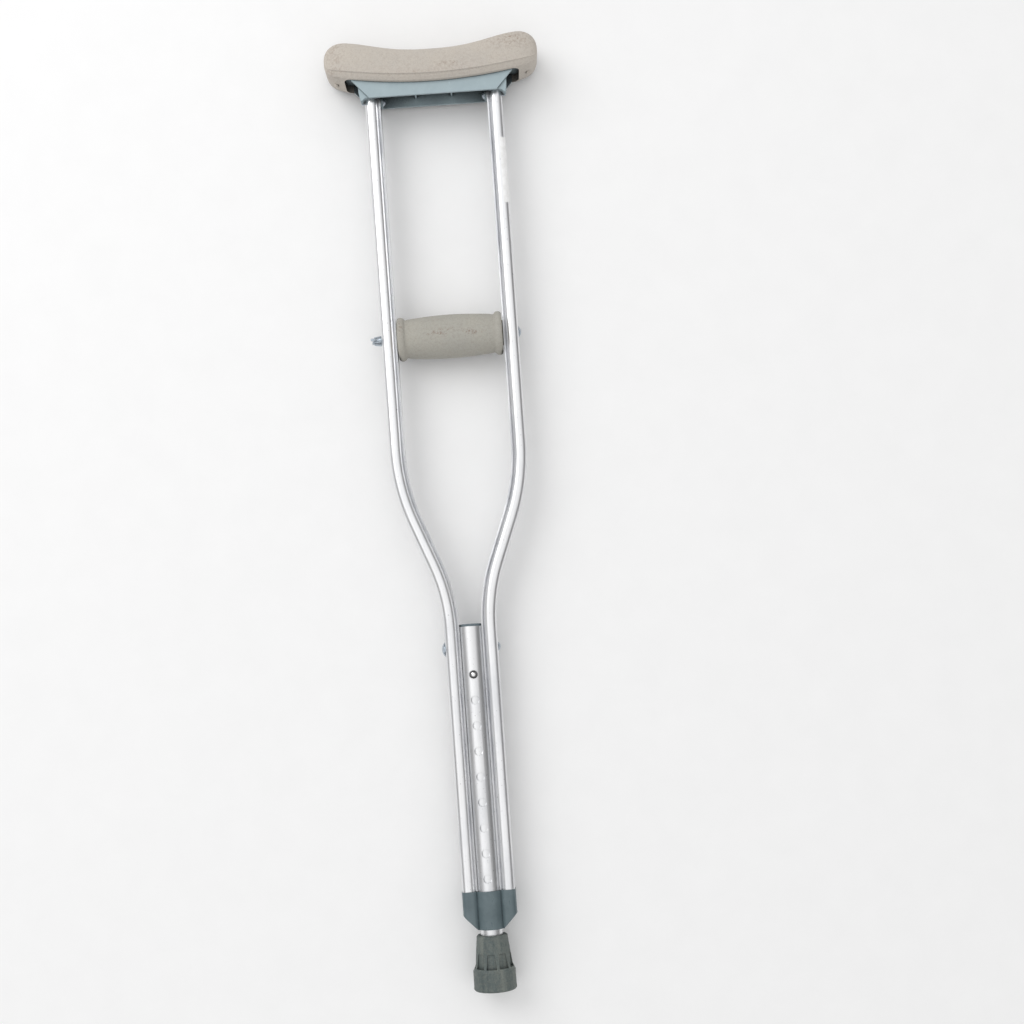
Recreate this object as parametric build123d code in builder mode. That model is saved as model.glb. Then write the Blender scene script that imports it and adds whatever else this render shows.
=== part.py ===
from build123d import *
import math
import os

# Underarm crutch. Millimetres, +Z up along the leg.
# Origin: centre of the rubber tip's ground face, leg at its shortest setting.
# X runs across the crutch, from the wing nut (-X) to the bolt head (+X).
# The adjusting holes and the snap button face -Y.

os.makedirs("parts", exist_ok=True)

# ---------------------------------------------------------------- driving sizes
inch = 25.4

# leg, from the ground up
tip_height = 54.8
tip_floor = 12.0
tip_ring_r = 21.3
tip_ring_top = 20.5
tip_neck_r = 18.9
tip_rim_r = 15.6
tip_panel_count = 9
tip_panel_turn = -96.5
tip_panel_height = 14.6
tip_panel_depth_r = 16.4
washer_thick = 1.4

extension_r = 11.1
extension_wall = 1.5
extension_bottom = tip_floor + washer_thick
extension_top = 330.5

leg_r = 12.7
leg_wall = 1.4
leg_bottom = 75.0
leg_top = 362.5
leg_bore_r = leg_r - leg_wall

button_z = 314.5
button_r = 3.8
button_hole_r = 4.3
button_steps = 8

bolt_z = 341.2
bolt_r = 3.0

# collar that joins the uprights to the leg
collar_bottom = 61.0
collar_shoulder = 75.9
collar_top = 99.1
collar_half = 26.9
collar_foot_half = 12.6
bushing_bottom = 65.5
collar_core_r = 14.3
side_lobe_x = 19.2
side_lobe_half_y = 11.2
side_lobe_corner_r = 5.5
spigot_height = 24.0

# uprights: section first, then the line its middle follows
lobe_half_x = 6.3
lobe_half_y = 10.0
lobe_corner_r = 5.2
upright_wall = 1.4
hollow_half_x = lobe_half_x - upright_wall
hollow_half_y = lobe_half_y - upright_wall
hollow_corner_r = lobe_corner_r - upright_wall
channel_r = 12.9
channel_wall = 1.6
fin_reach = 9.0
upright_low_x = 20.0
upright_high_x = 62.0
bend_angle = 21.0
bend_low_r = 180.0
bend_high_r = 200.0
bend_top_z = 540.9
upright_top = 902.5

# hand grip
grip_z = 652.7
grip_steps_each_way = 3
grip_half = 52.0
grip_flange_r = 21.3
grip_core_r = 9.5

# underarm bracket and pad
panel_y = 16.6
panel_thick = 2.2
panel_bottom = 889.7
panel_bottom_half = 63.0
panel_top = 915.5
panel_end_half = 79.6
panel_end_z = 907.9
web_thick = 2.4
web_half = 86.4
web_corner_r = 6.8
bracket_screw_z = 890.7
bracket_screw_r = 2.1
pad_half = 106.0
pad_half_depth = 25.0
slot_half = 86.6
slot_half_depth = 17.6
slot_corner_r = 7.0
slot_top = panel_top + web_thick + 0.1

# ---------------------------------------------------------------- rubber tip
panel_angle = 360.0 / tip_panel_count

with BuildPart() as rubber_tip:
    with BuildSketch(Plane.XZ) as tip_section:
        with BuildLine():
            Polyline(
                (0, 0),
                (20.3, 0),
                (tip_ring_r + 0.2, 1.4),
                (tip_ring_r + 0.2, 3.2),
                (tip_ring_r, 4.0),
                (tip_ring_r - 0.1, tip_ring_top - 1.0),
                (tip_ring_r - 0.7, tip_ring_top),
                (tip_neck_r + 0.3, tip_ring_top + 3.2),
                (tip_neck_r - 0.3, tip_ring_top + 5.0),
                (tip_rim_r + 0.1, tip_height - 4.0),
                (tip_rim_r, tip_height - 1.2),
                (tip_rim_r - 1.2, tip_height),
                (extension_r, tip_height),
                (extension_r, tip_floor),
                (0, tip_floor),
                (0, 0),
            )
        make_face()
    revolve(axis=Axis.Z)
    # recessed panels in the lower neck, with ribs left between them
    for number in range(tip_panel_count):
        facing = Plane.YZ.rotated((0, 0, panel_angle * number + tip_panel_turn))
        with BuildSketch(facing.offset(tip_panel_depth_r)):
            with Locations((0, tip_ring_top + 2.0 + tip_panel_height / 2)):
                Trapezoid(10.4, tip_panel_height, 83)
        extrude(amount=6, mode=Mode.SUBTRACT)
    # tread: rings cut into the ground face
    with BuildSketch() as tread:
        Circle(18.4)
        Circle(16.4, mode=Mode.SUBTRACT)
        Circle(13.4)
        Circle(11.4, mode=Mode.SUBTRACT)
        Circle(8.4)
        Circle(6.4, mode=Mode.SUBTRACT)
    extrude(amount=1.5, mode=Mode.SUBTRACT)
rubber_tip.part.label = "rubber_tip"
export_step(rubber_tip.part, "parts/rubber_tip.step")

# steel disc that stops the leg from punching through the rubber
with BuildPart() as tip_washer:
    with BuildSketch(Plane.XY.offset(tip_floor)):
        Circle(extension_r - 0.1)
    extrude(amount=washer_thick)
tip_washer.part.label = "tip_washer"
export_step(tip_washer.part, "parts/tip_washer.step")

# ---------------------------------------------------------------- extension leg
with BuildPart() as extension_tube:
    with BuildSketch(Plane.XY.offset(extension_bottom)):
        Circle(extension_r)
        Circle(extension_r - extension_wall, mode=Mode.SUBTRACT)
    extrude(amount=extension_top - extension_bottom)
    with BuildSketch(Plane.XZ.offset(5)):
        with Locations((0, button_z)):
            Circle(button_r + 0.1)
    extrude(amount=10, mode=Mode.SUBTRACT)
extension_tube.part.label = "extension_tube"
export_step(extension_tube.part, "parts/extension_tube.step")

# plastic bush in the top of the extension: it centres it in the outer tube
with BuildPart() as extension_guide_bush:
    with BuildSketch(Plane.XY.offset(extension_top - 4.5)):
        Circle(extension_r - extension_wall - 0.02)
    extrude(amount=4.5)
    with BuildSketch(Plane.XY.offset(extension_top)):
        Circle(leg_bore_r - 0.05)
    extrude(amount=4.0)
    with BuildSketch(Plane.XY.offset(extension_top - 4.5)):
        Circle(6.5)
    extrude(amount=8.5, mode=Mode.SUBTRACT)
    chamfer(extension_guide_bush.edges().group_by(Axis.Z)[-1], 0.6)
extension_guide_bush.part.label = "extension_guide_bush"
export_step(extension_guide_bush.part, "parts/extension_guide_bush.step")

# bent spring strip inside the extension, pushing the button out
spring_front_y = -8.5
spring_thick = 0.7
spring_width = 6.6
with BuildPart() as snap_spring:
    with BuildSketch(Plane.YZ):
        with BuildLine() as spring_line:
            FilletPolyline(
                (spring_front_y, button_z + 9.0),
                (spring_front_y, button_z - 14.0),
                (-3.0, button_z - 38.0),
                (3.5, button_z - 38.0),
                (8.6, button_z - 14.0),
                (8.6, button_z + 2.0),
                radius=2.6,
            )
        trace(line_width=spring_thick)
    extrude(amount=spring_width / 2, both=True)
    with BuildSketch(Plane.XZ.offset(5)):
        with Locations((0, button_z)):
            Circle(1.6)
    extrude(amount=8, mode=Mode.SUBTRACT)
snap_spring.part.label = "snap_spring"
export_step(snap_spring.part, "parts/snap_spring.step")

# domed button, riveted through the spring strip
button_back_y = spring_front_y - spring_thick / 2
button_face_y = 15.0
button_dome_y = 12.6
with BuildPart() as snap_button:
    with BuildSketch(Plane.XY) as button_section:
        with BuildLine():
            Line((0, button_back_y), (button_r, button_back_y))
            Line((button_r, button_back_y), (button_r, -button_dome_y))
            TangentArc((0, -button_face_y), (button_r, -button_dome_y), tangent=(1, 0))
            Line((0, -button_face_y), (0, button_back_y))
        make_face()
    revolve(axis=Axis.Y)
    with BuildSketch(Plane.XZ.offset(7.4)):
        Circle(1.55)
    extrude(amount=2.0)
    with BuildSketch(Plane.XZ.offset(7.3)):
        Circle(2.5)
    extrude(amount=0.8)
snap_button.part = snap_button.part.moved(Location((0, 0, button_z)))
snap_button.part.label = "snap_button"
export_step(snap_button.part, "parts/snap_button.step")

# ---------------------------------------------------------------- outer leg tube
with BuildPart() as outer_leg_tube:
    with BuildSketch(Plane.XY.offset(leg_bottom)):
        Circle(leg_r)
        Circle(leg_bore_r, mode=Mode.SUBTRACT)
    extrude(amount=leg_top - leg_bottom)
    # adjusting holes in the front wall, one inch apart
    with BuildSketch(Plane.XZ.offset(5)):
        for step in range(button_steps + 1):
            with Locations((0, button_z - step * inch)):
                Circle(button_hole_r)
    extrude(amount=12, mode=Mode.SUBTRACT)
    # cross bolt hole
    with BuildSketch(Plane.YZ):
        with Locations((0, bolt_z)):
            Circle(bolt_r + 0.2)
    extrude(amount=leg_r + 2, both=True, mode=Mode.SUBTRACT)
outer_leg_tube.part.label = "outer_leg_tube"
export_step(outer_leg_tube.part, "parts/outer_leg_tube.step")

with BuildPart() as outer_tube_cap:
    with BuildSketch(Plane.XY.offset(leg_top - 9.0)):
        Circle(leg_bore_r - 0.02)
        Circle(leg_bore_r - 1.8, mode=Mode.SUBTRACT)
    extrude(amount=9.0)
    with BuildSketch(Plane.XY.offset(leg_top)):
        Circle(leg_r - 0.4)
    extrude(amount=2.4)
    fillet(outer_tube_cap.edges().group_by(Axis.Z)[-1], 0.8)
outer_tube_cap.part.label = "outer_tube_cap"
export_step(outer_tube_cap.part, "parts/outer_tube_cap.step")

# ---------------------------------------------------------------- uprights
turn = math.radians(bend_angle)
shift_total = upright_high_x - upright_low_x
shift_bends = (bend_low_r + bend_high_r) * (1 - math.cos(turn))
slope_length = (shift_total - shift_bends) / math.sin(turn)
slope_drop = slope_length * math.cos(turn)
high_bend_drop = bend_high_r * math.sin(turn)
low_bend_drop = bend_low_r * math.sin(turn)
high_bend_end_z = bend_top_z - high_bend_drop
high_bend_end_x = upright_high_x - bend_high_r * (1 - math.cos(turn))
low_bend_start_z = high_bend_end_z - slope_drop
low_bend_start_x = high_bend_end_x - slope_drop * math.tan(turn)
low_bend_end_z = low_bend_start_z - low_bend_drop

with BuildPart() as right_upright:
    with BuildLine(Plane.XZ) as upright_line:
        Line((upright_low_x, collar_top), (upright_low_x, low_bend_end_z))
        TangentArc(
            (upright_low_x, low_bend_end_z),
            (low_bend_start_x, low_bend_start_z),
            tangent=(0, 1),
        )
        Line((low_bend_start_x, low_bend_start_z), (high_bend_end_x, high_bend_end_z))
        TangentArc(
            (high_bend_end_x, high_bend_end_z),
            (upright_high_x, bend_top_z),
            tangent=(math.sin(turn), math.cos(turn)),
        )
        Line((upright_high_x, bend_top_z), (upright_high_x, upright_top))
    # hollow rounded lobe with two fins that cup the leg tube
    with BuildSketch(Plane.XY.offset(collar_top)) as upright_section:
        with Locations((0, 0)):
            Circle(channel_r + channel_wall)
        with Locations((upright_low_x, 0)):
            Rectangle(2 * fin_reach, 30, mode=Mode.INTERSECT)
        with Locations((upright_low_x, 0)):
            RectangleRounded(2 * lobe_half_x, 2 * lobe_half_y, lobe_corner_r)
        Circle(channel_r, mode=Mode.SUBTRACT)
        with Locations((upright_low_x, 0)):
            RectangleRounded(
                2 * hollow_half_x,
                2 * hollow_half_y,
                hollow_corner_r,
                mode=Mode.SUBTRACT,
            )
    sweep(path=upright_line.line)
    # cross bolt hole and the row of hand grip holes
    with BuildSketch(Plane.YZ):
        with Locations((0, bolt_z)):
            Circle(bolt_r + 0.2)
        for step in range(-grip_steps_each_way, grip_steps_each_way + 1):
            with Locations((0, grip_z + step * inch)):
                Circle(bolt_r + 0.3)
        with Locations((0, bracket_screw_z)):
            Circle(bracket_screw_r + 0.1)
    extrude(amount=upright_high_x + 20, mode=Mode.SUBTRACT)
right_upright.part.label = "right_upright"
export_step(right_upright.part, "parts/right_upright.step")

with BuildPart() as left_upright:
    add(mirror(right_upright.part, about=Plane.YZ, mode=Mode.PRIVATE))
left_upright.part.label = "left_upright"
export_step(left_upright.part, "parts/left_upright.step")

# blank paper label on the outer front of the right upright
label_bottom = 779.5
label_top = 844.5
label_thick = 0.25
with BuildPart() as upright_label:
    with BuildSketch(Plane.XY.offset(label_bottom)):
        with Locations((upright_high_x, 0)):
            RectangleRounded(
                2 * (lobe_half_x + label_thick),
                2 * (lobe_half_y + label_thick),
                lobe_corner_r + label_thick,
            )
            RectangleRounded(
                2 * lobe_half_x + 0.02,
                2 * lobe_half_y + 0.02,
                lobe_corner_r + 0.01,
                mode=Mode.SUBTRACT,
            )
        with Locations((upright_high_x + 6.0, -5.9)):
            Rectangle(10.4, 11.0, mode=Mode.INTERSECT)
    extrude(amount=label_top - label_bottom)
upright_label.part.label = "upright_label"
export_step(upright_label.part, "parts/upright_label.step")

# ---------------------------------------------------------------- collar and bushing
with BuildPart() as leg_collar:
    with BuildSketch(Plane.XY.offset(collar_bottom)):
        Circle(collar_core_r)
        with Locations((side_lobe_x, 0), (-side_lobe_x, 0)):
            RectangleRounded(
                2 * (collar_half - side_lobe_x),
                2 * side_lobe_half_y,
                side_lobe_corner_r,
            )
    extrude(amount=collar_top - collar_bottom)
    # both lower corners are cut back towards the leg
    with BuildSketch(Plane.XZ):
        with BuildLine():
            Polyline(
                (collar_half + 1, collar_shoulder - 1),
                (collar_half + 1, collar_bottom - 1),
                (collar_foot_half - 1, collar_bottom - 1),
                (collar_foot_half, collar_bottom),
                (collar_half, collar_shoulder),
                (collar_half + 1, collar_shoulder - 1),
            )
        make_face()
        mirror(about=Plane.YZ)
    extrude(amount=20, both=True, mode=Mode.SUBTRACT)
    # spigots that stand up inside the hollow uprights
    with BuildSketch(Plane.XY.offset(collar_top)):
        with Locations((upright_low_x, 0), (-upright_low_x, 0)):
            RectangleRounded(
                2 * hollow_half_x - 0.2,
                2 * hollow_half_y - 0.2,
                hollow_corner_r - 0.1,
            )
    extrude(amount=spigot_height)
    # bores for the outer tube, its bushing and the extension
    with BuildSketch(Plane.XY.offset(bushing_bottom)):
        Circle(leg_r + 0.02)
    extrude(amount=80, mode=Mode.SUBTRACT)
    with BuildSketch(Plane.XY.offset(collar_bottom - 1)):
        Circle(extension_r + 0.2)
    extrude(amount=20, mode=Mode.SUBTRACT)
leg_collar.part.label = "leg_collar"
export_step(leg_collar.part, "parts/leg_collar.step")

with BuildPart() as leg_bushing:
    with BuildSketch(Plane.XY.offset(bushing_bottom)):
        Circle(leg_r)
        Circle(extension_r + 0.06, mode=Mode.SUBTRACT)
    extrude(amount=leg_bottom - bushing_bottom)
leg_bushing.part.label = "leg_bushing"
export_step(leg_bushing.part, "parts/leg_bushing.step")

# ---------------------------------------------------------------- cross bolt
frame_low_half = upright_low_x + lobe_half_x
washer_r = 5.2
washer_plate = 0.6

with BuildPart() as cross_bolt:
    with BuildSketch(Plane.YZ.offset(-(frame_low_half + 1.8))):
        with Locations((0, bolt_z)):
            Circle(bolt_r)
    extrude(amount=2 * frame_low_half + 2.2)
    with BuildSketch(Plane.XZ) as cross_head_section:
        with BuildLine():
            Line((frame_low_half, bolt_z), (frame_low_half, bolt_z + 4.6))
            TangentArc(
                (frame_low_half + 2.5, bolt_z),
                (frame_low_half, bolt_z + 4.6),
                tangent=(0, 1),
            )
            Line((frame_low_half + 2.5, bolt_z), (frame_low_half, bolt_z))
        make_face()
    revolve(axis=Axis((0, 0, bolt_z), (1, 0, 0)))
cross_bolt.part.label = "cross_bolt"
export_step(cross_bolt.part, "parts/cross_bolt.step")

# saddle washer: flat outside, hollowed inside to sit on the upright
with BuildPart() as cross_bolt_washer:
    with BuildSketch(Plane.YZ.offset(-(frame_low_half + washer_plate))):
        with Locations((0, bolt_z)):
            Circle(7.4)
            Circle(bolt_r + 0.15, mode=Mode.SUBTRACT)
    extrude(amount=4.0)
    with BuildSketch(Plane.XY.offset(bolt_z - 20)):
        with Locations((-upright_low_x, 0)):
            RectangleRounded(2 * lobe_half_x + 0.04, 2 * lobe_half_y + 0.04, lobe_corner_r)
    extrude(amount=40, mode=Mode.SUBTRACT)
cross_bolt_washer.part.label = "cross_bolt_washer"
export_step(cross_bolt_washer.part, "parts/cross_bolt_washer.step")

cap_nut_x = -(frame_low_half + washer_plate)
with BuildPart() as cross_bolt_nut:
    with BuildSketch(Plane.XZ):
        with BuildLine():
            Line((cap_nut_x, bolt_z), (cap_nut_x, bolt_z + 6.4))
            Line((cap_nut_x, bolt_z + 6.4), (cap_nut_x - 0.7, bolt_z + 6.4))
            TangentArc(
                (cap_nut_x - 3.0, bolt_z),
                (cap_nut_x - 0.7, bolt_z + 6.4),
                tangent=(0, 1),
            )
            Line((cap_nut_x - 3.0, bolt_z), (cap_nut_x, bolt_z))
        make_face()
    revolve(axis=Axis((0, 0, bolt_z), (1, 0, 0)))
    with BuildSketch(Plane.YZ.offset(-(frame_low_half + 1.85))):
        with Locations((0, bolt_z)):
            Circle(bolt_r + 0.02)
    extrude(amount=6, mode=Mode.SUBTRACT)
cross_bolt_nut.part.label = "cross_bolt_nut"
export_step(cross_bolt_nut.part, "parts/cross_bolt_nut.step")

# ---------------------------------------------------------------- hand grip
# soft sleeve: rolled rims at both ends, barrel body between them
with BuildPart() as handgrip_foam:
    with BuildSketch(Plane.XZ):
        with BuildLine():
            Line((-grip_half, grip_core_r), (-grip_half, grip_flange_r - 2.6))
            ThreePointArc(
                (-grip_half, grip_flange_r - 2.6),
                (-grip_half + 3.2, grip_flange_r),
                (-grip_half + 6.2, grip_flange_r - 2.4),
            )
            Spline(
                (-grip_half + 6.2, grip_flange_r - 2.4),
                (-grip_half + 8.0, grip_flange_r - 2.9),
                (-24.0, 20.0),
                (0, 21.4),
                (24.0, 20.0),
                (grip_half - 8.0, grip_flange_r - 2.9),
                (grip_half - 6.2, grip_flange_r - 2.4),
            )
            ThreePointArc(
                (grip_half - 6.2, grip_flange_r - 2.4),
                (grip_half - 3.2, grip_flange_r),
                (grip_half, grip_flange_r - 2.6),
            )
            Line((grip_half, grip_flange_r - 2.6), (grip_half, grip_core_r))
            Line((grip_half, grip_core_r), (-grip_half, grip_core_r))
        make_face()
    revolve(axis=Axis.X)
handgrip_foam.part = handgrip_foam.part.moved(Location((0, 0, grip_z)))
handgrip_foam.part.label = "handgrip_foam"
export_step(handgrip_foam.part, "parts/handgrip_foam.step")

with BuildPart() as handgrip_core:
    with BuildSketch(Plane.YZ):
        with Locations((0, grip_z)):
            Circle(grip_core_r)
            Circle(bolt_r + 0.6, mode=Mode.SUBTRACT)
    extrude(amount=grip_half, both=True)
handgrip_core.part.label = "handgrip_core"
export_step(handgrip_core.part, "parts/handgrip_core.step")

# saddles: seat the ends of the grip in the channels of the uprights
channel_x = upright_high_x - upright_low_x
with BuildPart() as grip_saddles:
    with BuildSketch(Plane.XY.offset(grip_z - 11)):
        with Locations((channel_x, 0)):
            Circle(channel_r - 0.05)
        with Locations((grip_half + 10, 0)):
            Rectangle(20, 40, mode=Mode.INTERSECT)
    extrude(amount=22)
    with BuildSketch(Plane.YZ.offset(grip_half - 1)):
        with Locations((0, grip_z)):
            Circle(bolt_r + 0.1)
    extrude(amount=10, mode=Mode.SUBTRACT)
    mirror(about=Plane.YZ)
grip_saddles.part.label = "grip_saddles"
export_step(grip_saddles.part, "parts/grip_saddles.step")

frame_high_half = upright_high_x + lobe_half_x
washer_gap = 0.05
washer_out = frame_high_half + washer_gap + washer_plate

with BuildPart() as handgrip_washers:
    with BuildSketch(Plane.YZ.offset(frame_high_half + washer_gap)):
        with Locations((0, grip_z)):
            Circle(washer_r)
            Circle(bolt_r + 0.15, mode=Mode.SUBTRACT)
    extrude(amount=washer_plate)
    mirror(about=Plane.YZ)
handgrip_washers.part.label = "handgrip_washers"
export_step(handgrip_washers.part, "parts/handgrip_washers.step")

with BuildPart() as handgrip_bolt:
    with BuildSketch(Plane.YZ.offset(-(washer_out + 7.6))):
        with Locations((0, grip_z)):
            Circle(bolt_r)
    extrude(amount=2 * washer_out + 7.6)
    with BuildSketch(Plane.XZ):
        with BuildLine():
            Line((washer_out, grip_z), (washer_out, grip_z + 4.4))
            TangentArc(
                (washer_out + 2.2, grip_z),
                (washer_out, grip_z + 4.4),
                tangent=(0, 1),
            )
            Line((washer_out + 2.2, grip_z), (washer_out, grip_z))
        make_face()
    revolve(axis=Axis((0, 0, grip_z), (1, 0, 0)))
    with BuildSketch(Plane.YZ.offset(washer_out + 1.3)):
        with Locations((0, grip_z)):
            Rectangle(10, 1.1)
    extrude(amount=3, mode=Mode.SUBTRACT)
handgrip_bolt.part.label = "handgrip_bolt"
export_step(handgrip_bolt.part, "parts/handgrip_bolt.step")

# wing nut: tapered hub and two wings that point towards the front and the back
with BuildPart() as handgrip_wing_nut:
    with BuildSketch(Plane.XZ):
        with BuildLine():
            Polyline(
                (washer_out + 0.1, bolt_r + 0.06),
                (washer_out + 0.1, 4.9),
                (washer_out + 0.6, 5.1),
                (washer_out + 6.6, 4.2),
                (washer_out + 7.0, 3.9),
                (washer_out + 7.0, bolt_r + 0.06),
                (washer_out + 0.1, bolt_r + 0.06),
            )
        make_face()
    revolve(axis=Axis.X)
    with BuildSketch(Plane.XY):
        with BuildLine():
            Polyline(
                (washer_out + 1.0, 3.4),
                (washer_out + 1.8, 6.0),
                (washer_out + 4.8, 8.8),
                (washer_out + 8.8, 9.6),
                (washer_out + 9.8, 8.6),
                (washer_out + 8.8, 6.0),
                (washer_out + 6.6, 3.9),
                (washer_out + 5.8, 3.4),
                (washer_out + 1.0, 3.4),
            )
        make_face()
        fillet(vertices(), 0.5)
        mirror(about=Plane.XZ)
    extrude(amount=1.1, both=True)
wing_blank = handgrip_wing_nut.part.mirror(Plane.YZ)
handgrip_wing_nut.part = wing_blank.moved(Location((0, 0, grip_z)))
handgrip_wing_nut.part.label = "handgrip_wing_nut"
export_step(handgrip_wing_nut.part, "parts/handgrip_wing_nut.step")

# ---------------------------------------------------------------- underarm bracket
screw_head_x = 50.8
socket_half_y = 14.6
socket_low_z = 887.4

# side view of the sleeve that closes round the outside of an upright
sleeve_outline = [
    (55.0, panel_bottom + 1.2),
    (64.0, panel_bottom + 1.2),
    (67.6, panel_bottom + 0.2),
    (70.0, socket_low_z + 0.6),
    (71.2, socket_low_z),
    (71.8, socket_low_z + 0.3),
    (73.2, socket_low_z + 8.0),
    (74.2, panel_top + 0.5),
    (55.0, panel_top + 0.5),
    (55.0, panel_bottom + 1.2),
]

with BuildPart() as underarm_bracket:
    # front and back panels
    with BuildSketch(Plane.XZ.offset(panel_y - panel_thick)):
        with BuildLine():
            Polyline(
                (-panel_bottom_half, panel_bottom),
                (panel_bottom_half, panel_bottom),
                (panel_end_half, panel_end_z),
                (panel_end_half, panel_top),
                (-panel_end_half, panel_top),
                (-panel_end_half, panel_end_z),
                (-panel_bottom_half, panel_bottom),
            )
        make_face()
    extrude(amount=panel_thick)
    mirror(about=Plane.XZ)
    # top web, seated in the slot of the pad
    with BuildSketch(Plane.XY.offset(panel_top)):
        RectangleRounded(2 * web_half, 2 * panel_y, web_corner_r)
    extrude(amount=web_thick)
    # inner cross ribs
    with BuildSketch(Plane.XY.offset(panel_bottom + 7.5)):
        with Locations((-18, 0), (18, 0)):
            Rectangle(1.6, 2 * panel_y - 1.0)
    extrude(amount=panel_top - panel_bottom - 7.0)
    # inner socket walls with a rounded foot round each screw
    with BuildSketch(Plane.YZ.offset(screw_head_x)):
        with Locations((0, bracket_screw_z)):
            Circle(6.2)
        with Locations((0, (bracket_screw_z + panel_top) / 2)):
            Rectangle(12.4, panel_top - bracket_screw_z)
    extrude(amount=2.3)
    # sleeve round the outside of the upright
    with BuildSketch(Plane.XZ.offset(-socket_half_y)):
        with BuildLine():
            Polyline(sleeve_outline)
        make_face()
    extrude(amount=2 * socket_half_y)
    # the lip of the sleeve is low at the front and rises towards the back
    with BuildSketch(Plane.YZ.offset(panel_bottom_half - 8)):
        with BuildLine():
            Polyline(
                (-6.0, socket_low_z - 4.0),
                (-6.0, socket_low_z - 0.5),
                (socket_half_y, socket_low_z + 9.5),
                (socket_half_y, socket_low_z - 4.0),
                (-6.0, socket_low_z - 4.0),
            )
        make_face()
    extrude(amount=22, mode=Mode.SUBTRACT)
    # same walls and sleeve on the other side
    mirror(about=Plane.YZ)
    # room for the uprights
    with BuildSketch(Plane.XY.offset(panel_bottom - 10)):
        with Locations((upright_high_x, 0), (-upright_high_x, 0)):
            RectangleRounded(
                2 * lobe_half_x + 0.2,
                2 * lobe_half_y + 0.2,
                lobe_corner_r + 0.1,
            )
        with Locations((screw_head_x + 5.4, 0), (-screw_head_x - 5.4, 0)):
            Rectangle(6.2, 2 * lobe_half_y + 0.2)
    extrude(amount=upright_top + 10.2 - panel_bottom, mode=Mode.SUBTRACT)
    # screw holes
    with BuildSketch(Plane.YZ):
        with Locations((0, bracket_screw_z)):
            Circle(bracket_screw_r + 0.02)
    extrude(amount=76, both=True, mode=Mode.SUBTRACT)
underarm_bracket.part.label = "underarm_bracket"
export_step(underarm_bracket.part, "parts/underarm_bracket.step")

# screws through the inner walls and the uprights
with BuildPart() as bracket_screws:
    with BuildSketch(Plane.YZ.offset(screw_head_x)):
        Circle(bracket_screw_r)
    extrude(amount=21.0)
    with BuildSketch(Plane.XZ):
        with BuildLine():
            Line((screw_head_x, 0), (screw_head_x, 4.4))
            TangentArc(
                (screw_head_x - 2.9, 0),
                (screw_head_x, 4.4),
                tangent=(0, 1),
            )
            Line((screw_head_x - 2.9, 0), (screw_head_x, 0))
        make_face()
    revolve(axis=Axis.X)
    mirror(about=Plane.YZ)
bracket_screws.part = bracket_screws.part.moved(Location((0, 0, bracket_screw_z)))
bracket_screws.part.label = "bracket_screws"
export_step(bracket_screws.part, "parts/bracket_screws.step")

# ---------------------------------------------------------------- underarm pad
pad_mid_top = 937.0
pad_end_top = 948.4
pad_mid_bottom = 900.8
pad_end_bottom = 909.0
pad_edge_r = 9.0

with BuildPart() as underarm_pad:
    with BuildSketch(Plane.XZ):
        with BuildLine():
            Spline(
                (0, pad_mid_top),
                (50, pad_mid_top + 3.2),
                (88, pad_end_top),
                (pad_half, 931.0),
                (90, pad_end_bottom),
                (50, pad_mid_bottom + 1.8),
                (0, pad_mid_bottom),
                tangents=[(1, 0), (-1, 0)],
            )
            Line((0, pad_mid_bottom), (0, pad_mid_top))
        make_face()
        mirror(about=Plane.YZ)
    extrude(amount=pad_half_depth, both=True)
    fillet(underarm_pad.edges().filter_by(GeomType.BSPLINE), pad_edge_r)
    # slot for the web of the bracket
    with BuildSketch(Plane.XY.offset(pad_mid_bottom - 20)):
        RectangleRounded(2 * slot_half, 2 * slot_half_depth, slot_corner_r)
    extrude(amount=slot_top - pad_mid_bottom + 20, mode=Mode.SUBTRACT)
underarm_pad.part.label = "underarm_pad"
export_step(underarm_pad.part, "parts/underarm_pad.step")
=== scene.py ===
"""Looks for the underarm crutch: worn aluminium, moulded foam and plastic, lying on pale paper."""
import bpy
import bmesh
import math
from mathutils import Matrix, Vector, noise


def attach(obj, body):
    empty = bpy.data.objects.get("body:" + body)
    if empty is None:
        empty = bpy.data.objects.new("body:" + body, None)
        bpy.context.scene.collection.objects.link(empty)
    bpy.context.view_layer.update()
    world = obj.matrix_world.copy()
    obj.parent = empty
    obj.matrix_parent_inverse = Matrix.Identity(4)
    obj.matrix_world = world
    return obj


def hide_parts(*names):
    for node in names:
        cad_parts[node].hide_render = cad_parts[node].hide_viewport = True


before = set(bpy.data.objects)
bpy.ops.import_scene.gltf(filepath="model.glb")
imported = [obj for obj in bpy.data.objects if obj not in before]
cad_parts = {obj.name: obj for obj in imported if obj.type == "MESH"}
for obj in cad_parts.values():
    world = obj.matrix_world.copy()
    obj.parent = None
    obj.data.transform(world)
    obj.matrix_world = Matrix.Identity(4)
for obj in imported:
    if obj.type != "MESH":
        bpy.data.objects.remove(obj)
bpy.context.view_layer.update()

MM = 0.001
scene = bpy.context.scene


# ------------------------------------------------------------------ node helpers
def new_material(name):
    """An empty node material with its output and a Principled shader."""
    material = bpy.data.materials.new(name)
    material.use_nodes = True
    tree = material.node_tree
    tree.nodes.clear()
    output = tree.nodes.new("ShaderNodeOutputMaterial")
    shader = tree.nodes.new("ShaderNodeBsdfPrincipled")
    tree.links.new(shader.outputs["BSDF"], output.inputs["Surface"])
    return material, tree, shader


def place(tree, scale=(1, 1, 1)):
    """Object coordinates, stretched by scale."""
    coordinates = tree.nodes.new("ShaderNodeTexCoord")
    mapping = tree.nodes.new("ShaderNodeMapping")
    mapping.inputs["Scale"].default_value = scale
    tree.links.new(coordinates.outputs["Object"], mapping.inputs["Vector"])
    return mapping.outputs["Vector"]


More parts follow.
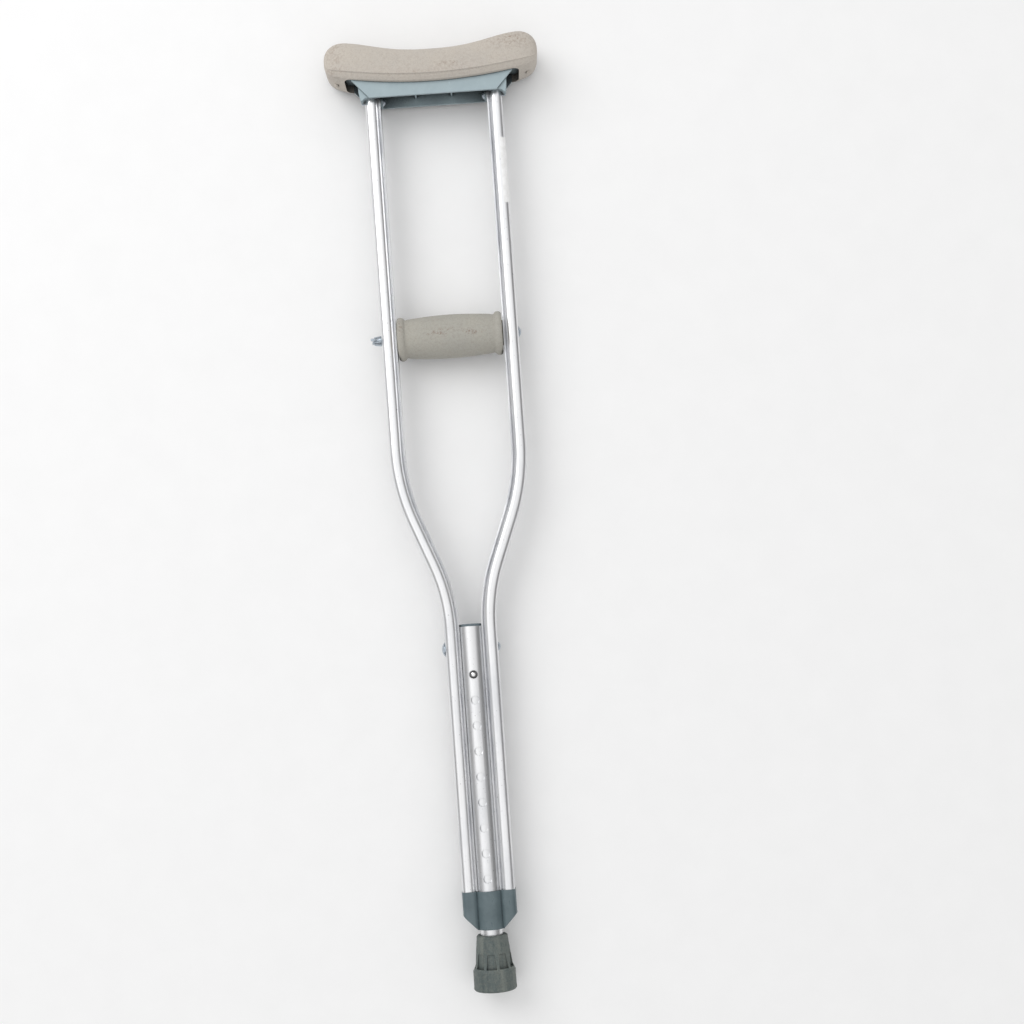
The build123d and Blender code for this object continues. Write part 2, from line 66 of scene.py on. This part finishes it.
def noise_value(tree, vector, scale, detail=3.0, roughness=0.55):
    node = tree.nodes.new("ShaderNodeTexNoise")
    node.inputs["Scale"].default_value = scale
    node.inputs["Detail"].default_value = detail
    node.inputs["Roughness"].default_value = roughness
    tree.links.new(vector, node.inputs["Vector"])
    return node.outputs["Fac"]


def ramp(tree, value, stops):
    """Colour ramp: stops are (position, colour) or (position, grey)."""
    node = tree.nodes.new("ShaderNodeValToRGB")
    band = node.color_ramp
    while len(band.elements) < len(stops):
        band.elements.new(0.5)
    for element, (position, colour) in zip(band.elements, stops):
        if not isinstance(colour, tuple):
            colour = (colour, colour, colour)
        element.position = position
        element.color = (*colour, 1)
    tree.links.new(value, node.inputs["Fac"])
    return node.outputs["Color"]


def maths(tree, operation, first, second=None, third=None):
    node = tree.nodes.new("ShaderNodeMath")
    node.operation = operation
    for socket, value in zip(node.inputs, (first, second, third)):
        if value is None:
            continue
        if isinstance(value, (int, float)):
            socket.default_value = value
        else:
            tree.links.new(value, socket)
    return node.outputs["Value"]


def mix(tree, factor, first, second, blend="MIX"):
    """Mixes two colours."""
    node = tree.nodes.new("ShaderNodeMix")
    node.data_type = "RGBA"
    node.blend_type = blend
    slots = {"Factor": factor, "A": first, "B": second}
    for socket in node.inputs:
        if socket.name not in slots or not socket.enabled:
            continue
        value = slots[socket.name]
        if isinstance(value, tuple):
            socket.default_value = (*value, 1)
        elif isinstance(value, (int, float)):
            socket.default_value = value
        else:
            tree.links.new(value, socket)
    return next(s for s in node.outputs if s.enabled)


def bump(tree, height, distance, strength=1.0, normal=None):
    node = tree.nodes.new("ShaderNodeBump")
    node.inputs["Distance"].default_value = distance
    node.inputs["Strength"].default_value = strength
    tree.links.new(height, node.inputs["Height"])
    if normal is not None:
        tree.links.new(normal, node.inputs["Normal"])
    return node.outputs["Normal"]


def soft_edges(tree, radius):
    """Normals rounded over sharp edges."""
    node = tree.nodes.new("ShaderNodeBevel")
    node.samples = 6
    node.inputs["Radius"].default_value = radius
    return node.outputs["Normal"]


def painted_hollow_shade(tree, distance, darkest, reach=(0.25, 0.85)):
    """Painted shade: grey factor from ambient occlusion, darkest deep in a hollow, 1 on open surfaces."""
    node = tree.nodes.new("ShaderNodeAmbientOcclusion")
    node.samples = 6
    node.inputs["Distance"].default_value = distance
    return ramp(tree, node.outputs["AO"], [(reach[0], darkest), (reach[1], 1.0)])


def axis_value(tree, vector, axis):
    node = tree.nodes.new("ShaderNodeSeparateXYZ")
    tree.links.new(vector, node.inputs["Vector"])
    return node.outputs[axis]


# ------------------------------------------------------------------ materials
def aluminium():
    """Satin anodised tube: drawn lines along the leg, faint smudges and small scratches."""
    material, tree, shader = new_material("anodised_aluminium")
    lines = noise_value(tree, place(tree, (1, 1, 0.01)), 900, 4)
    smudge = noise_value(tree, place(tree, (1, 1, 0.35)), 42, 5, 0.62)
    speck = noise_value(tree, place(tree), 420, 2)
    tint = ramp(
        tree,
        smudge,
        [(0.30, (0.74, 0.75, 0.77)), (0.55, (0.86, 0.865, 0.875)), (0.8, (0.83, 0.83, 0.83))],
    )
    spots = ramp(tree, speck, [(0.27, 0.72), (0.33, 1.0)])
    tree.links.new(mix(tree, 1.0, tint, spots, "MULTIPLY"), shader.inputs["Base Color"])
    shader.inputs["Metallic"].default_value = 1.0
    rough = ramp(tree, smudge, [(0.25, 0.40), (0.6, 0.29), (0.8, 0.36)])
    tree.links.new(rough, shader.inputs["Roughness"])
    shader.inputs["Anisotropic"].default_value = 0.35
    tangent = tree.nodes.new("ShaderNodeTangent")
    tangent.direction_type = "RADIAL"
    tangent.axis = "Z"
    tree.links.new(tangent.outputs["Tangent"], shader.inputs["Tangent"])
    tree.links.new(bump(tree, lines, 0.00002, 0.35, soft_edges(tree, 0.0004)), shader.inputs["Normal"])
    return material


def plastic(name, dark, light, roughness, hollow=(0.02, 0.35), edge=0.0007):
    """Moulded plastic: slow mottling, fine grain, pale scuffs, painted shade darkening the recesses."""
    material, tree, shader = new_material(name)
    cloud = noise_value(tree, place(tree), 55, 4, 0.6)
    grain = noise_value(tree, place(tree), 1500, 2)
    scuff = noise_value(tree, place(tree, (1, 1, 0.25)), 260, 5, 0.7)
    tint = ramp(tree, cloud, [(0.3, dark), (0.7, light)])
    marks = ramp(tree, scuff, [(0.62, 0.0), (0.74, 0.35)])
    pale = tuple(min(1.0, c * 1.5 + 0.05) for c in light)
    scuffed = mix(tree, marks, tint, pale)
    # painted shade: base colour darkened by ambient occlusion in creases and recesses
    shade = painted_hollow_shade(tree, hollow[0], hollow[1], (0.30, 0.72))
    tree.links.new(mix(tree, 1.0, scuffed, shade, "MULTIPLY"), shader.inputs["Base Color"])
    rough = ramp(tree, scuff, [(0.3, roughness), (0.75, min(1.0, roughness + 0.2))])
    tree.links.new(rough, shader.inputs["Roughness"])
    tree.links.new(bump(tree, grain, 0.00003, 0.5, soft_edges(tree, edge)), shader.inputs["Normal"])
    return material


def rubber_tip_material():
    """Dusty grey-green rubber: streaks that run up the tip, paler dust on edges, painted shade darkening the
    recesses.
    """
    material, tree, shader = new_material("tip_rubber")
    streak = noise_value(tree, place(tree, (1, 1, 0.12)), 130, 4, 0.55)
    dust = noise_value(tree, place(tree), 260, 5, 0.7)
    speck = noise_value(tree, place(tree), 900, 3)
    tint = ramp(
        tree,
        streak,
        [(0.30, (0.060, 0.080, 0.080)), (0.50, (0.092, 0.115, 0.110)), (0.72, (0.165, 0.182, 0.165))],
    )
    film = ramp(tree, dust, [(0.42, 0.0), (0.72, 0.6)])
    dusty = mix(tree, film, tint, (0.165, 0.175, 0.155))
    spots = ramp(tree, speck, [(0.34, 0.78), (0.5, 1.0), (0.68, 1.2)])
    speckled = mix(tree, 0.8, dusty, spots, "MULTIPLY")
    # painted shade: base colour darkened by ambient occlusion in the recesses and creases of the tip
    shade = painted_hollow_shade(tree, 0.006, 0.45)
    tree.links.new(mix(tree, 1.0, speckled, shade, "MULTIPLY"), shader.inputs["Base Color"])
    tree.links.new(ramp(tree, streak, [(0.3, 0.45), (0.7, 0.75)]), shader.inputs["Roughness"])
    tree.links.new(bump(tree, speck, 0.00008, 0.5, soft_edges(tree, 0.0008)), shader.inputs["Normal"])
    return material


def patch(tree, vector, centre, size):
    """1 in the middle of a soft-edged oval at centre, falling to 0 at its rim."""
    shifted = tree.nodes.new("ShaderNodeMapping")
    shifted.inputs["Location"].default_value = [-c / s for c, s in zip(centre, size)]
    shifted.inputs["Scale"].default_value = [1 / s for s in size]
    tree.links.new(vector, shifted.inputs["Vector"])
    reach = tree.nodes.new("ShaderNodeVectorMath")
    reach.operation = "LENGTH"
    tree.links.new(shifted.outputs["Vector"], reach.inputs[0])
    return ramp(tree, reach.outputs["Value"], [(0.15, 1.0), (1.0, 0.0)])


def foam(name, base, worn, worn_places):
    """Moulded foam rubber: fine pores, a slow unevenness, and reddish-brown specks where it is rubbed."""
    material, tree, shader = new_material(name)
    vector = place(tree)
    cloud = noise_value(tree, vector, 30, 4, 0.6)
    mottle = noise_value(tree, vector, 420, 4, 0.75)
    pores = noise_value(tree, vector, 1250, 3, 0.6)
    cool = tuple(c * k for c, k in zip(base, (0.95, 0.96, 0.98)))
    tint = ramp(tree, cloud, [(0.34, cool), (0.66, base)])
    specks = ramp(tree, mottle, [(0.46, 0.0), (0.70, 1.0)])
    wear = 0.22
    for centre, size, amount in worn_places:
        spot = maths(tree, "MULTIPLY", patch(tree, vector, centre, size), amount)
        wear = maths(tree, "MAXIMUM", spot, wear)
    stained = mix(tree, maths(tree, "MULTIPLY", specks, wear), tint, worn)
    dots = ramp(tree, pores, [(0.30, 0.80), (0.46, 1.0), (0.7, 1.05)])
    spotted = mix(tree, 1.0, stained, dots, "MULTIPLY")
    # painted shade: base colour darkened by ambient occlusion in hollows and where the foam lies close to
    # other surfaces
    shade = painted_hollow_shade(tree, 0.028, 0.14, (0.22, 0.62))
    tree.links.new(mix(tree, 1.0, spotted, shade, "MULTIPLY"), shader.inputs["Base Color"])
    shader.inputs["Roughness"].default_value = 0.78
    shader.inputs["Specular IOR Level"].default_value = 0.3
    rough_skin = bump(tree, pores, 0.00010, 0.45)
    tree.links.new(bump(tree, mottle, 0.00018, 0.25, rough_skin), shader.inputs["Normal"])
    return material


def steel(name, colour, roughness):
    """Plated steel with fine pitting."""
    material, tree, shader = new_material(name)
    pits = noise_value(tree, place(tree), 700, 4, 0.6)
    dull = tuple(c * 0.72 for c in colour)
    tree.links.new(ramp(tree, pits, [(0.35, dull), (0.6, colour)]), shader.inputs["Base Color"])
    shader.inputs["Metallic"].default_value = 1.0
    tree.links.new(ramp(tree, pits, [(0.3, roughness + 0.15), (0.7, roughness)]), shader.inputs["Roughness"])
    tree.links.new(bump(tree, pits, 0.00004, 0.4, soft_edges(tree, 0.0004)), shader.inputs["Normal"])
    return material


def polished_dome():
    """Polished rivet: bright on top, with painted shade darkening its steep rim."""
    material, tree, shader = new_material("polished_steel")
    facing = tree.nodes.new("ShaderNodeLayerWeight")
    facing.inputs["Blend"].default_value = 0.45
    wear = noise_value(tree, place(tree), 800, 3)
    # painted shade: base colour darkened where the dome's surface turns away from the view
    rim = ramp(tree, facing.outputs["Facing"], [(0.10, 1.0), (0.30, 0.16), (1.0, 0.10)])
    tint = ramp(tree, wear, [(0.3, 0.80), (0.6, 0.92)])
    tree.links.new(mix(tree, 1.0, tint, rim, "MULTIPLY"), shader.inputs["Base Color"])
    shader.inputs["Metallic"].default_value = 1.0
    shader.inputs["Roughness"].default_value = 0.12
    return material


def label_film():
    """Blank white film, a little grubby."""
    material, tree, shader = new_material("label_film")
    smudge = noise_value(tree, place(tree), 160, 5, 0.65)
    tint = ramp(tree, smudge, [(0.35, (0.80, 0.80, 0.79)), (0.6, (0.90, 0.90, 0.90))])
    tree.links.new(tint, shader.inputs["Base Color"])
    shader.inputs["Roughness"].default_value = 0.38
    tree.links.new(bump(tree, smudge, 0.00002, 0.3), shader.inputs["Normal"])
    return material


ALUMINIUM = aluminium()
ZINC = steel("zinc_plate", (0.52, 0.58, 0.64), 0.20)
BRIGHT = polished_dome()
SPRING = steel("spring_steel", (0.42, 0.43, 0.45), 0.35)
TIP_RUBBER = rubber_tip_material()
# the last pair of each plastic is its painted hollow shade: reach in metres, darkest grey
COLLAR = plastic("collar_plastic", (0.084, 0.118, 0.130), (0.124, 0.165, 0.178), 0.24, (0.004, 0.8))
BRACKET = plastic("bracket_plastic", (0.325, 0.405, 0.435), (0.370, 0.455, 0.485), 0.42, (0.032, 0.06))
CAP = plastic("cap_plastic", (0.10, 0.135, 0.155), (0.15, 0.19, 0.21), 0.38, (0.004, 0.6))
BUSH = plastic("bush_plastic", (0.62, 0.61, 0.57), (0.74, 0.73, 0.70), 0.5, (0.01, 0.5))
CORE = plastic("core_plastic", (0.30, 0.27, 0.21), (0.38, 0.35, 0.28), 0.5, (0.01, 0.5))
LABEL = label_film()
# places where the foam is rubbed, in metres: (centre, half size, amount)
PAD_WEAR = [
    ((0.080, -0.022, 0.936), (0.040, 0.030, 0.016), 1.0),
    ((0.020, -0.025, 0.915), (0.028, 0.020, 0.006), 0.9),
    ((-0.094, -0.020, 0.936), (0.014, 0.030, 0.024), 0.9),
    ((-0.096, -0.020, 0.915), (0.022, 0.030, 0.010), 0.8),
    ((0.0, -0.024, 0.909), (0.120, 0.020, 0.004), 0.6),
]
GRIP_WEAR = [
    ((-0.010, -0.020, 0.6520), (0.020, 0.014, 0.0050), 1.0),
    ((0.022, -0.020, 0.6520), (0.015, 0.014, 0.0050), 1.0),
    ((0.0, -0.020, 0.6550), (0.040, 0.014, 0.0040), 0.6),
    ((-0.048, -0.018, 0.660), (0.006, 0.014, 0.018), 0.9),
]
PAD_FOAM = foam("pad_foam", (0.535, 0.490, 0.432), (0.300, 0.225, 0.180), PAD_WEAR)
GRIP_FOAM = foam("grip_foam", (0.410, 0.396, 0.350), (0.200, 0.130, 0.100), GRIP_WEAR)

FINISH = {
    "left_upright": ALUMINIUM,
    "right_upright": ALUMINIUM,
    "outer_leg_tube": ALUMINIUM,
    "extension_tube": ALUMINIUM,
    "outer_tube_cap": CAP,
    "extension_guide_bush": BUSH,
    "leg_bushing": BUSH,
    "snap_button": BRIGHT,
    "snap_spring": SPRING,
    "leg_collar": COLLAR,
    "rubber_tip": TIP_RUBBER,
    "tip_washer": ZINC,
    "cross_bolt": ZINC,
    "cross_bolt_nut": ZINC,
    "cross_bolt_washer": ZINC,
    "underarm_bracket": BRACKET,
    "bracket_screws": ZINC,
    "handgrip_core": CORE,
    "grip_saddles": CORE,
    "handgrip_bolt": ZINC,
    "handgrip_washers": ZINC,
    "handgrip_wing_nut": ZINC,
    "upright_label": LABEL,
}

for node_name, material in FINISH.items():
    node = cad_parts[node_name]
    node.data.materials.clear()
    node.data.materials.append(material)


# ------------------------------------------------------------------ soft pieces
def add_piece(name, vertices, faces, material, sharp_angle):
    """A smooth-shaded mesh object from plain vertex and face lists, in millimetres."""
    mesh = bpy.data.meshes.new(name)
    mesh.from_pydata([Vector(v) * MM for v in vertices], [], faces)
    shell = bmesh.new()
    shell.from_mesh(mesh)
    bmesh.ops.recalc_face_normals(shell, faces=shell.faces)
    shell.to_mesh(mesh)
    shell.free()
    mesh.materials.append(material)
    mesh.shade_smooth()
    mesh.set_sharp_from_angle(angle=sharp_angle)
    piece = bpy.data.objects.new(name, mesh)
    scene.collection.objects.link(piece)
    return piece


def combine(piece, tool, operation):
    """Cuts tool out of piece, or joins it on, and removes tool."""
    modifier = piece.modifiers.new("combine", "BOOLEAN")
    modifier.operation = operation
    modifier.solver = "EXACT"
    modifier.object = tool
    graph = bpy.context.evaluated_depsgraph_get()
    result = bpy.data.meshes.new_from_object(piece.evaluated_get(graph))
    piece.modifiers.clear()
    piece.data = result
    bpy.data.objects.remove(tool)
    piece.data.set_sharp_from_angle(angle=PAD_SHARP)


def rings_to_faces(ring_count, ring_size, closed):
    """Quads between neighbouring rings of vertices; closed joins the last ring to the first."""
    faces = []
    last = ring_count if closed else ring_count - 1
    for ring in range(last):
        here = ring * ring_size
        there = ((ring + 1) % ring_count) * ring_size
        for step in range(ring_size):
            after = (step + 1) % ring_size
            faces.append((here + step, here + after, there + after, there + step))
    return faces


# the pad, in millimetres; shares run from 0 at its widest line to 1 at its underside
PAD_END = 106.0
PAD_ROUND_FROM = 84.0
PAD_HALF_DEPTH = 25.0
PAD_HORN_X = 92.0
PAD_MID_TOP = 935.6
PAD_TOP_RISE = 12.2
PAD_MID_BOTTOM = 900.8
PAD_BOTTOM_RISE = 8.6
PAD_WIDEST_UP = 18.5
PAD_SHARP = 0.9
TOP_STEPS = 24
CORNER_STEPS = 12
CORNER_SHARE = 0.88
SIDE_SHARES = [0.12, 0.24, 0.36, 0.46, 0.54, 0.58, 0.605, 0.625]
SIDE_SHARES += [0.64, 0.655, 0.67, 0.69, 0.72, 0.77, 0.82, 0.88]
BEAD_AT = 0.64
BEAD_PROUD = 0.95
BEAD_WIDTH = 0.022
STEP_IN = 0.8
STEP_WIDTH = 0.012
STATION_SPACING = 2.0
STATIONS_TO = 82.0
END_STATIONS = 18

# the slot in the pad's underside and the marks beside it
SLOT_HALF_X = 86.6
SLOT_HALF_Y = 17.6
SLOT_CORNER = 7.0
SLOT_FROM = 885.0
SLOT_ROOF = 918.0
SLOT_CORNER_STEPS = 8
MARK_X = 95.6
MARK_SINK = 3.0
MARK_SIDES = 16
MARK_PROFILE = [(1.3, -3.75), (1.9, -3.55), (2.2, -3.1), (2.2, 1.0)]
MARK_TIP = -3.8


def pad_top(x):
    """Saddle line of the pad's top: low in the middle, rising to both horns."""
    rise = min(1.0, abs(x) / PAD_HORN_X)
    return PAD_MID_TOP + PAD_TOP_RISE * (1 - math.cos(math.pi * rise ** 1.35)) / 2


def pad_bottom(x):
    """Line of the underside, bowed up towards the ends."""
    return PAD_MID_BOTTOM + PAD_BOTTOM_RISE * min(1.0, abs(x) / PAD_HORN_X) ** 2


def pad_section(x):
    """Outline across the pad at x: soft top, parting bead low on the side, tighter lower corner."""
    past = max(0.0, (abs(x) - PAD_ROUND_FROM) / (PAD_END - PAD_ROUND_FROM))
    end = (1 - past ** 2.4) ** (1 / 2.4)
    middle = pad_bottom(x) + PAD_WIDEST_UP
    up = (pad_top(x) - middle) * end
    down = (middle - pad_bottom(x)) * end
    depth = PAD_HALF_DEPTH * (1 - (abs(x) / PAD_END) ** 6) ** (1 / 6)
    half = []
    for step in range(TOP_STEPS + 1):
        turn = math.pi / 2 * step / TOP_STEPS
        y = depth * math.sin(turn) ** (2 / 3.0)
        z = up * math.cos(turn) ** (2 / 3.0)
        half.append((y, middle + z))
    for share in SIDE_SHARES:
        y = depth * (1 - share ** 5) ** (1 / 5)
        bead = BEAD_PROUD * math.exp(-(((share - BEAD_AT) / BEAD_WIDTH) ** 2))
        step_in = STEP_IN / (1 + math.exp(-(share - BEAD_AT) / STEP_WIDTH))
        half.append((y + (bead - step_in) * end, middle - down * share))
    edge = half[-1][0]
    low = CORNER_SHARE * down
    for step in range(1, CORNER_STEPS + 1):
        turn = math.pi / 2 * step / CORNER_STEPS
        y = edge * math.cos(turn) ** 0.8
        z = low + (down - low) * math.sin(turn) ** 0.9
        half.append((y, middle - z))
    other = [(-y, z) for y, z in reversed(half[1:-1])]
    return [(x, y, z) for y, z in half + other]


def make_pad():
    """The underarm pad: swept sections, the slot for the bracket and two moulding marks below."""
    straight = int(2 * STATIONS_TO / STATION_SPACING) + 1
    stations = [-STATIONS_TO + STATION_SPACING * n for n in range(straight)]
    for step in range(1, END_STATIONS):
        reach = (PAD_END - STATIONS_TO) * math.sin(math.pi / 2 * step / END_STATIONS)
        stations.append(STATIONS_TO + reach)
        stations.insert(0, -STATIONS_TO - reach)
    rings = [pad_section(x) for x in stations]
    size = len(rings[0])
    vertices = [v for ring in rings for v in ring]
    faces = rings_to_faces(len(rings), size, False)
    for ring, x in ((0, -PAD_END), (len(rings) - 1, PAD_END)):
        tip = len(vertices)
        vertices.append((x, 0.0, pad_bottom(x) + PAD_WIDEST_UP))
        for step in range(size):
            faces.append((ring * size + step, ring * size + (step + 1) % size, tip))
    pad = add_piece("underarm_pad_foam", vertices, faces, PAD_FOAM, PAD_SHARP)
    combine(pad, slot_cutter(), "DIFFERENCE")
    for x in (-MARK_X, MARK_X):
        combine(pad, moulding_mark(x), "UNION")
    return pad


def slot_cutter():
    """Rounded slot that the web of the bracket sits in."""
    outline = []
    for quarter in range(4):
        sign_x = (1, -1, -1, 1)[quarter]
        sign_y = (1, 1, -1, -1)[quarter]
        for step in range(SLOT_CORNER_STEPS + 1):
            turn = math.pi / 2 * (quarter + step / SLOT_CORNER_STEPS)
            x = sign_x * (SLOT_HALF_X - SLOT_CORNER) + SLOT_CORNER * math.cos(turn)
            y = sign_y * (SLOT_HALF_Y - SLOT_CORNER) + SLOT_CORNER * math.sin(turn)
            outline.append((x, y))
    count = len(outline)
    vertices = [(x, y, z) for z in (SLOT_FROM, SLOT_ROOF) for x, y in outline]
    faces = [tuple(range(count)), tuple(range(2 * count - 1, count - 1, -1))]
    for step in range(count):
        after = (step + 1) % count
        faces.append((step, count + step, count + after, after))
    return add_piece("slot_tool", vertices, faces, PAD_FOAM, PAD_SHARP)


def moulding_mark(x):
    """Small round pip left by the mould on the underside."""
    foot = pad_bottom(x) + MARK_SINK
    vertices = [(x, 0.0, foot + MARK_TIP)]
    for radius, rise in MARK_PROFILE:
        for step in range(MARK_SIDES):
            turn = 2 * math.pi * step / MARK_SIDES
            vertices.append((x + radius * math.cos(turn), radius * math.sin(turn), foot + rise))
    vertices.append((x, 0.0, foot + MARK_PROFILE[-1][1]))
    rings = rings_to_faces(len(MARK_PROFILE), MARK_SIDES, False)
    faces = [tuple(corner + 1 for corner in face) for face in rings]
    last = 1 + (len(MARK_PROFILE) - 1) * MARK_SIDES
    for step in range(MARK_SIDES):
        after = (step + 1) % MARK_SIDES
        faces.append((0, 1 + after, 1 + step))
        faces.append((len(vertices) - 1, last + step, last + after))
    return add_piece("mark_tool", vertices, faces, PAD_FOAM, PAD_SHARP)


# the hand grip, in millimetres
GRIP_Z = 652.7
GRIP_HALF = 52.0
GRIP_BORE_R = 9.6
GRIP_TURNS = 120
GRIP_SHARP = 1.2
BARREL_HALF = 43.0
BARREL_END_R = 18.6
BARREL_BULGE = 2.7
BARREL_ZERO = 46.0
BARREL_SPACING = 2.0
PARTING_ANGLE = math.radians(14)
RIDGE_HEIGHT = 0.5
UNEVEN_HEIGHT = 0.12
# rolled flange and groove: (distance in from the end, radius)
FLANGE = [(0.0, GRIP_BORE_R), (0.0, 18.2), (0.2, 19.4), (1.0, 20.6), (2.4, 21.3), (4.4, 21.3)]
FLANGE += [(5.8, 20.9), (6.8, 20.1), (7.4, 19.2), (8.1, 18.7), (9.0, BARREL_END_R)]


def grip_profile():
    """Half profile of the grip, (x, radius): rolled flange, groove, barrel, groove, flange."""
    left = [(-GRIP_HALF + inward, radius) for inward, radius in FLANGE]
    barrel = []
    for step in range(1, int(2 * BARREL_HALF / BARREL_SPACING)):
        x = -BARREL_HALF + BARREL_SPACING * step
        swell = math.cos(math.pi * x / (2 * BARREL_ZERO)) ** 0.9
        barrel.append((x, BARREL_END_R + BARREL_BULGE * swell))
    right = [(-x, radius) for x, radius in reversed(left)]
    return left + barrel + right


def make_grip():
    """The foam sleeve of the hand grip, with the fine parting ridge that its mould left."""
    profile = grip_profile()
    vertices = []
    for x, radius in profile:
        outside = radius > GRIP_BORE_R
        for step in range(GRIP_TURNS):
            angle = PARTING_ANGLE + 2 * math.pi * step / GRIP_TURNS
            r = radius
            if outside:
                place_in_noise = Vector((x * 0.06, math.sin(angle) * 1.4, math.cos(angle) * 1.4))
                r += UNEVEN_HEIGHT * noise.noise(place_in_noise)
            if outside and step % (GRIP_TURNS // 2) == 0:
                r += RIDGE_HEIGHT
            vertices.append((x, -r * math.cos(angle), GRIP_Z + r * math.sin(angle)))
    faces = rings_to_faces(len(profile), GRIP_TURNS, True)
    return add_piece("handgrip_foam_sleeve", vertices, faces, GRIP_FOAM, GRIP_SHARP)


pad = make_pad()
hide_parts("underarm_pad")
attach(pad, "upper_frame")

grip = make_grip()
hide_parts("handgrip_foam")
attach(grip, "hand_grip")


# ------------------------------------------------------------------ paper, light and camera
VIEW_DISTANCE = 1.492
VIEW_HEIGHT = 0.3169
VIEW_TILT = math.radians(4.0)
FRAME_CENTRE = Vector((0.0493, 0.0, 0.4736))
FRAME_WIDTH = 1.022
SENSOR = 36.0
PAPER_Y = 0.0262
PAPER_HALF = 4.0
LIGHT_TARGET = Vector((0, 0, 0.5))
# metres; Blender takes keys nearer than 0.01 for one key
HOME_REACH = 0.012


def follow_camera(owner, path, at_home, elsewhere, camera, home):
    """Gives a value at_home while the camera is at home, the photograph's viewpoint, or else elsewhere."""
    curve = owner.driver_add(path)
    for modifier in list(curve.modifiers):
        curve.modifiers.remove(modifier)
    curve.driver.type = "SUM"
    distance = curve.driver.variables.new()
    distance.type = "LOC_DIFF"
    distance.targets[0].id = camera
    distance.targets[1].id = home
    for away, value in ((0.0, at_home), (HOME_REACH, elsewhere)):
        point = curve.keyframe_points.insert(away, value)
        point.interpolation = "CONSTANT"


def make_camera():
    """Looks square on to the crutch from low down, rolled by the tilt of the crutch in its picture."""
    up = Vector((math.sin(VIEW_TILT), 0, math.cos(VIEW_TILT)))
    drop = (FRAME_CENTRE.z - VIEW_HEIGHT) / math.cos(VIEW_TILT)
    data = bpy.data.cameras.new("camera")
    camera = bpy.data.objects.new("camera", data)
    scene.collection.objects.link(camera)
    camera.location = FRAME_CENTRE - up * drop + Vector((0, -VIEW_DISTANCE, 0))
    right = Vector((math.cos(VIEW_TILT), 0, -math.sin(VIEW_TILT)))
    back = Vector((0, -1, 0))
    camera.rotation_euler = Matrix((right, up, back)).transposed().to_euler()
    data.sensor_width = SENSOR
    data.lens = SENSOR * VIEW_DISTANCE / FRAME_WIDTH
    home = bpy.data.objects.new("viewpoint", None)
    scene.collection.objects.link(home)
    home.location = camera.location
    follow_camera(data, "shift_y", drop / FRAME_WIDTH, 0.0, camera, home)
    scene.camera = camera
    return camera, home


camera, viewpoint = make_camera()


def make_paper():
    """The sheet of paper that the crutch lies on, shown only from the photograph's viewpoint."""
    mesh = bpy.data.meshes.new("paper")
    ways = ((-1, -1), (1, -1), (1, 1), (-1, 1))
    corners = [(PAPER_HALF * x, PAPER_Y, PAPER_HALF * z) for x, z in ways]
    mesh.from_pydata(corners, [], [(0, 1, 2, 3)])
    paper = bpy.data.objects.new("paper", mesh)
    scene.collection.objects.link(paper)
    material, tree, shader = new_material("paper")
    fibre = noise_value(tree, place(tree), 30, 4)
    tree.links.new(ramp(tree, fibre, [(0.3, 0.885), (0.7, 0.90)]), shader.inputs["Base Color"])
    shader.inputs["Roughness"].default_value = 0.9
    shader.inputs["Specular IOR Level"].default_value = 0.1
    mesh.materials.append(material)
    follow_camera(paper, "hide_render", 0.0, 1.0, camera, viewpoint)


def background(tree, colour, strength=1.0):
    node = tree.nodes.new("ShaderNodeBackground")
    node.inputs["Strength"].default_value = strength
    if isinstance(colour, tuple):
        node.inputs["Color"].default_value = (*colour, 1)
    else:
        tree.links.new(colour, node.inputs["Color"])
    return node.outputs["Background"]


def choose(tree, factor, first, second):
    """First shader where factor is 0, second where it is 1."""
    node = tree.nodes.new("ShaderNodeMixShader")
    tree.links.new(factor, node.inputs["Fac"])
    tree.links.new(first, node.inputs[1])
    tree.links.new(second, node.inputs[2])
    return node.outputs["Shader"]


def make_world():
    """Even light on everything matt; what metal mirrors is white behind the camera and grey to the sides."""
    world = bpy.data.worlds.new("studio")
    scene.world = world
    world.use_nodes = True
    tree = world.node_tree
    tree.nodes.clear()
    output = tree.nodes.new("ShaderNodeOutputWorld")
    coordinates = tree.nodes.new("ShaderNodeTexCoord").outputs["Generated"]
    facing = maths(tree, "MULTIPLY_ADD", axis_value(tree, coordinates, "Y"), 0.5, 0.5)
    side = maths(tree, "MULTIPLY_ADD", axis_value(tree, coordinates, "X"), 0.5, 0.5)
    fill_stops = [(0.0, 0.95), (0.3, 0.72), (0.6, 0.55), (1.0, 0.75)]
    card_stops = [(0.06, 1.0), (0.125, 0.95), (0.20, 0.30), (0.45, 0.22), (0.56, 0.5), (1.0, 0.8)]
    left_bright = ramp(tree, side, [(0.0, 1.25), (0.45, 1.0), (1.0, 0.62)])
    white_card = mix(tree, 1.0, ramp(tree, facing, card_stops), left_bright, "MULTIPLY")
    seen = background(tree, (0.86, 0.86, 0.865))
    fill = background(tree, ramp(tree, facing, fill_stops), 1.03)
    mirror = background(tree, white_card, 1.05)
    path = tree.nodes.new("ShaderNodeLightPath")
    light = choose(tree, path.outputs["Is Glossy Ray"], fill, mirror)
    shown = choose(tree, path.outputs["Is Camera Ray"], light, seen)
    tree.links.new(shown, output.inputs["Surface"])


def area_light(name, location, size, power):
    """A round soft light aimed at the middle of the crutch."""
    data = bpy.data.lights.new(name, "AREA")
    data.shape = "DISK"
    data.size = size
    data.energy = power
    light = bpy.data.objects.new(name, data)
    scene.collection.objects.link(light)
    light.location = location
    direction = LIGHT_TARGET - Vector(location)
    light.rotation_euler = direction.to_track_quat("-Z", "Y").to_euler()


make_paper()
make_world()
area_light("key", (-1.5, -1.9, 1.9), 2.2, 24)
area_light("behind", (0.8, 2.4, 1.6), 1.6, 30)
scene.view_settings.view_transform = "Standard"
